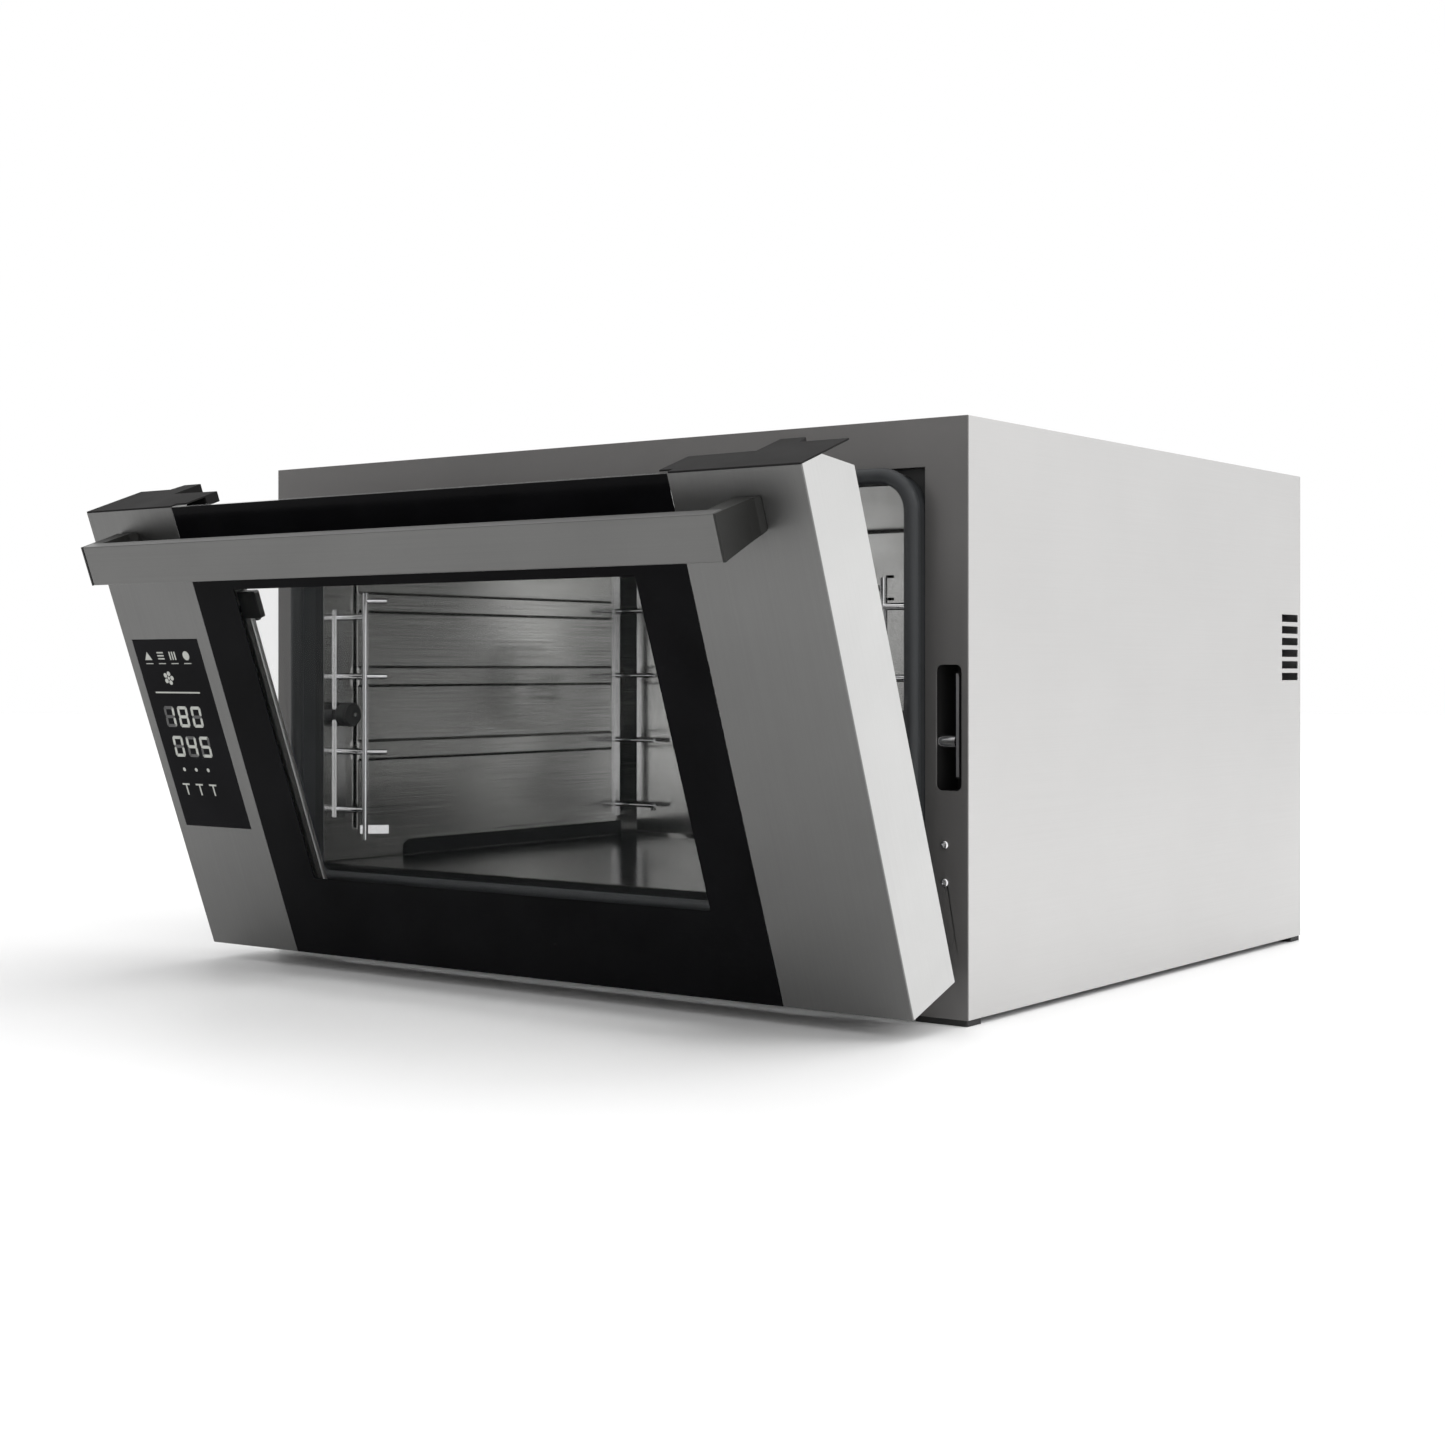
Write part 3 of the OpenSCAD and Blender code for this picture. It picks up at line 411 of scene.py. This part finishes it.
def segment_outline(kind, x, v, w, h, t):
    """One segment of a digit whose lower left corner is at (x, v)."""
    m = v + h / 2
    lean = 0.10
    g = 0.35
    flat = {"a": v + h - t / 2, "g": m, "d": v + t / 2}
    if kind in flat:
        c = flat[kind]
        pts = [(x + g, c), (x + t / 2 + g, c + t / 2), (x + w - t / 2 - g, c + t / 2), (x + w - g, c),
               (x + w - t / 2 - g, c - t / 2), (x + t / 2 + g, c - t / 2)]
    else:
        cx = x + t / 2 if kind in "fe" else x + w - t / 2
        lo, hi = (m, v + h) if kind in "fb" else (v, m)
        pts = [(cx, lo + g), (cx + t / 2, lo + t / 2 + g), (cx + t / 2, hi - t / 2 - g), (cx, hi - g),
               (cx - t / 2, hi - t / 2 - g), (cx - t / 2, lo + t / 2 + g)]
    return [(px + (pv - v) * lean, pv) for px, pv in pts]


bright, dim = bmesh.new(), bmesh.new()
for text, v in (("180", 226), ("045", 196)):
    for k, digit in enumerate(text):
        for seg in "abcdefg":
            target = bright if seg in SEGMENTS[digit] else dim
            add_plate(target, segment_outline(seg, -374 + k * 19, v, 14, 21, 3.0), *SIGN_U)
# Top row of signs with a thin line under each
for k in range(4):
    x = -378 + k * 18
    add_box(bright, (x, x + 10), SIGN_U, (289, 289.8))
add_plate(bright, [(-378, 293), (-368, 293), (-373, 301)], *SIGN_U)
for z in (293.5, 296.5, 299.5):
    add_box(bright, (-359, -350), SIGN_U, (z, z + 1.3))
for x in (-342, -338.5, -335):
    add_box(bright, (x, x + 1.6), SIGN_U, (293, 301))
add_plate(bright, disc(-318.5, 297, 4.4), *SIGN_U)
# Fan sign, bar and small marks
BLADE_TURN = 1.2566              # a fifth of a turn
for a in range(5):
    c, s = math.cos(a * BLADE_TURN), math.sin(a * BLADE_TURN)
    add_plate(bright, disc(-352 + 4.6 * c, 275 + 4.6 * s, 2.3, 14), *SIGN_U)
add_plate(bright, disc(-352, 275, 1.6, 16), *SIGN_U)
add_box(bright, (-377, -314), SIGN_U, (260, 261.4))
for k in range(3):
    add_plate(bright, disc(-368 + k * 17, 183, 1.9, 16), *SIGN_U)
for k in range(3):
    x = -372 + k * 19
    add_box(bright, (x - 5, x + 5), SIGN_U, (167, 168.6))
    add_box(bright, (x - 0.9, x + 0.9), SIGN_U, (157, 167))
piece("panel_signs", bright, DOOR, "door", lit)
piece("panel_segments_off", dim, DOOR, "door", off_glow)

# ---- Screws: pan heads with a cross recess ----


def screw_mesh(r, h):
    """A pan head whose flat side is at y 0 and whose top points to -Y, with a cross cut into it."""
    bm = bmesh.new()
    add_lathe(bm, [(0, 0), (r, 0), (r, -0.25 * h), (0.93 * r, -0.6 * h), (0.72 * r, -0.9 * h),
                   (0.4 * r, -h), (0, -h)], (0, 0), 32)
    head = bpy.data.meshes.new("head")
    bmesh.ops.recalc_face_normals(bm, faces=bm.faces)
    bm.to_mesh(head)
    bm.free()
    cut = bmesh.new()
    arm, half = 0.52 * r, 0.13 * r
    add_plate(cut, [(-half, -arm), (half, -arm), (half, -half), (arm, -half), (arm, half), (half, half),
                    (half, arm), (-half, arm), (-half, half), (-arm, half), (-arm, -half), (-half, -half)],
              -1.5 * h, -0.35 * h)
    cutter = bpy.data.meshes.new("cross")
    bmesh.ops.recalc_face_normals(cut, faces=cut.faces)
    cut.to_mesh(cutter)
    cut.free()
    a = bpy.data.objects.new("tmp_head", head)
    c = bpy.data.objects.new("tmp_cross", cutter)
    scene.collection.objects.link(a)
    scene.collection.objects.link(c)
    mod = a.modifiers.new("cut", "BOOLEAN")
    mod.operation = "DIFFERENCE"
    mod.object = c
    dg = bpy.context.evaluated_depsgraph_get()
    made = bpy.data.meshes.new_from_object(a.evaluated_get(dg))
    bpy.data.objects.remove(a)
    bpy.data.objects.remove(c)
    return made


SCREW_R, SCREW_H = 3.5, 2.0
screw = screw_mesh(SCREW_R, SCREW_H)
heads = bmesh.new()
places = [(cab(s * 379, 0, z), 0) for s in (-1, 1) for z in (113, 143)]
places += [(cab(x, REAR, z), math.pi) for x in (-388, -130, 130, 388) for z in (20, 470)]
for i, (p, turn) in enumerate(places):
    part = bmesh.new()
    part.from_mesh(screw)
    drive = Matrix.Rotation(0.7 + 0.9 * i, 4, "Y")      # each cross stands at its own angle
    part.transform(Matrix.Translation(p) @ Matrix.Rotation(turn, 4, "Z") @ drive @ Matrix.Scale(MM, 4))
    tmp = bpy.data.meshes.new("tmp")
    part.to_mesh(tmp)
    part.free()
    heads.from_mesh(tmp)
    bpy.data.meshes.remove(tmp)
screws = piece("screw_heads", heads, Matrix.Identity(4), "cabinet", M["chrome"], smooth=True)
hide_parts("casing_screws")

# ---- Water inlet with its thread, cable gland with its nut ----

inlet = bmesh.new()
profile = [(8, 664), (13, 664), (13, 672), (17, 672), (17, 680), (12.2, 680), (12.2, 688)]
THREAD_PITCH = 1.5
y = 688.0
while y < 703.2:
    profile += [(12.9, y + 0.45), (12.9, y + 0.75), (12.0, y + 1.3), (12.0, y + THREAD_PITCH)]
    y += THREAD_PITCH
profile += [(12.0, 704.4), (11.4, 705), (8.3, 705), (8, 704.6), (8, 664)]
add_lathe(inlet, profile, INLET, 64)
inlet_piece = piece("inlet_thread", inlet, CAB, "cabinet", M["brass"], smooth=True)
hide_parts("water_inlet")

gland = bmesh.new()
add_plate(gland, disc(*GLAND, 15, 6), REAR + 0.05, 690.5)
gland_profile = [(6.1, 690.5), (10, 690.5), (10, 692), (13.6, 692), (13.8, 693), (13.2, 698), (11.5, 700),
                 (9.2, 700.6), (6.9, 700.6), (6.1, 699.6), (6.1, 672), (10, 672), (10, REAR)]
add_lathe(gland, gland_profile, GLAND)
RIBS = 18
for i in range(RIBS):
    a = 2 * math.pi * i / RIBS
    rib = add_box(gland, (-0.8, 0.8), (692.6, 697.6), (13.0, 14.2))
    for v in rib:
        x, z = v.co.x, v.co.z
        v.co.x = GLAND[0] + x * math.cos(a) - z * math.sin(a)
        v.co.z = GLAND[1] + x * math.sin(a) + z * math.cos(a)
gland_piece = piece("gland_nut", gland, CAB, "cabinet", M["black_plastic"], smooth=True)
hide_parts("cable_gland")

# ---- Light strips along the inner glass, and a thin black strip of painted shade at the foot of each cavity wall ----

channel = bmesh.new()
shade_strips = bmesh.new()
SHADE_STRIP_OUTLINE = [(118, 91), (474, 91), (474, 106), (126, 106), (118, 101)]   # Y and Z, stepped at the front
for s in (-1, 1):
    add_box(channel, sorted((s * 282.3, s * 291.3)), (56.5, 57.0), (4, 412))
    add_box(channel, sorted((s * 282.3, s * 283.3)), (54.5, 57.0), (4, 314.5))
    near, far = sorted((s * (WALL - 0.3), s * WALL))
    front = [shade_strips.verts.new((near, y, z)) for y, z in SHADE_STRIP_OUTLINE]
    back = [shade_strips.verts.new((far, y, z)) for y, z in SHADE_STRIP_OUTLINE]
    shade_strips.faces.new(front)
    shade_strips.faces.new(back[::-1])
    for i in range(len(SHADE_STRIP_OUTLINE)):
        j = (i + 1) % len(SHADE_STRIP_OUTLINE)
        shade_strips.faces.new((front[i], back[i], back[j], front[j]))
piece("glass_channels", channel, DOOR, "door", moulded("channel_grey", (0.40, 0.40, 0.39), 0.4))
# the black strip is painted shade, not an opening
piece("wall_foot_painted_shade", shade_strips, CAB, "cabinet", M["black_print"])

# ---- Black corners between the round cavity seal and the square mouth: painted shade for the dark corner recesses ----

corner_shade = bmesh.new()
BEND = 32                        # radius of the black corner's inner edge
INSET_X, INSET_Z = 2.2, 2        # from the mouth's edge to the nearest point of that edge
ARC_STEPS = 8
mouth_x, mouth_low, mouth_high = MOUTH
bend_x = mouth_x - INSET_X - BEND
bend_z = INSET_Z + BEND
for s in (-1, 1):
    for z, way in ((mouth_high, -1), (mouth_low, 1)):
        fillet = [(s * mouth_x, z), (s * bend_x, z)]
        for k in range(ARC_STEPS + 1):
            a = math.radians(90 - 90 * k / ARC_STEPS)
            fillet.append((s * (bend_x + BEND * math.cos(a)), z + way * (bend_z - BEND * math.sin(a))))
        fillet.append((s * mouth_x, z + way * bend_z))
        add_plate(corner_shade, fillet, 5.0, 7.8)
piece("mouth_corners_painted_shade", corner_shade, CAB, "cabinet", M["black_rubber"])

# ---- Bright edge on the plate in the catch slot ----

edge = bmesh.new()
add_plate(edge, [(388.2, 197), (390.8, 197), (390.8, 276), (390.0, 279), (388.2, 279)], 1.7, 2.0)
piece("catch_plate_edge", edge, CAB, "cabinet", M["zinc_steel"])

# ---- Blank plate with rivets on the back ----

plate = bmesh.new()
add_plate(plate, [(-95, 90), (-25, 90), (-23, 92), (-23, 138), (-25, 140), (-95, 140), (-97, 138), (-97, 92)],
          REAR + 0.05, REAR + 0.7)
rivet = [(1.9, REAR + 0.6), (1.8, REAR + 1.2), (1.2, REAR + 1.7), (0, REAR + 1.9)]
for x in (-92, -28):
    for z in (95, 135):
        add_lathe(plate, rivet, (x, z), 16)
piece("back_plate", plate, CAB, "cabinet", M["zinc_steel"], smooth=True)

# ---- Floor, painted darker near the oven as shade and white far from it ----

floor_mesh = bpy.data.meshes.new("floor")
fb = bmesh.new()
bmesh.ops.create_grid(fb, x_segments=1, y_segments=1, size=14)
fb.to_mesh(floor_mesh)
fb.free()
floor = bpy.data.objects.new("floor", floor_mesh)
fm, ft, fp = new_material("floor_with_painted_shade")
f_co = ft.nodes.new("ShaderNodeTexCoord")
f_far = ft.nodes.new("ShaderNodeVectorMath")
f_far.operation = "LENGTH"
f_mix = ft.nodes.new("ShaderNodeMix")
f_mix.data_type = "RGBA"
ft.links.new(f_co.outputs["Object"], f_far.inputs[0])
ft.links.new(spread(ft, f_far.outputs["Value"], 0, 1, 0.9, 4.0), f_mix.inputs[0])
ft.links.new(tone(ft, noise(ft, 3.0), (0.73, 0.73, 0.73), (0.75, 0.75, 0.75)), f_mix.inputs[6])
ft.links.new(tone(ft, noise(ft, 3.0), (0.94, 0.94, 0.94), (0.95, 0.95, 0.95)), f_mix.inputs[7])
ft.links.new(f_mix.outputs[2], fp.inputs["Base Color"])
fp.inputs["Roughness"].default_value = 0.55
floor_mesh.materials.append(fm)
scene.collection.objects.link(floor)

# ---- White backdrop all round, seen directly only, so it neither lights nor shades the oven ----

dome_mesh = bpy.data.meshes.new("backdrop")
db = bmesh.new()
bmesh.ops.create_uvsphere(db, u_segments=64, v_segments=32, radius=12)
db.to_mesh(dome_mesh)
db.free()
dome = bpy.data.objects.new("backdrop", dome_mesh)
dm, _, dp = new_material("backdrop_white")
dp.inputs["Base Color"].default_value = (0, 0, 0, 1)
dp.inputs["Specular IOR Level"].default_value = 0
dp.inputs["Emission Color"].default_value = (1, 1, 1, 1)
dp.inputs["Emission Strength"].default_value = 1
dome_mesh.materials.append(dm)
dome.visible_diffuse = False
dome.visible_glossy = False
dome.visible_transmission = False
dome.visible_shadow = False
scene.collection.objects.link(dome)
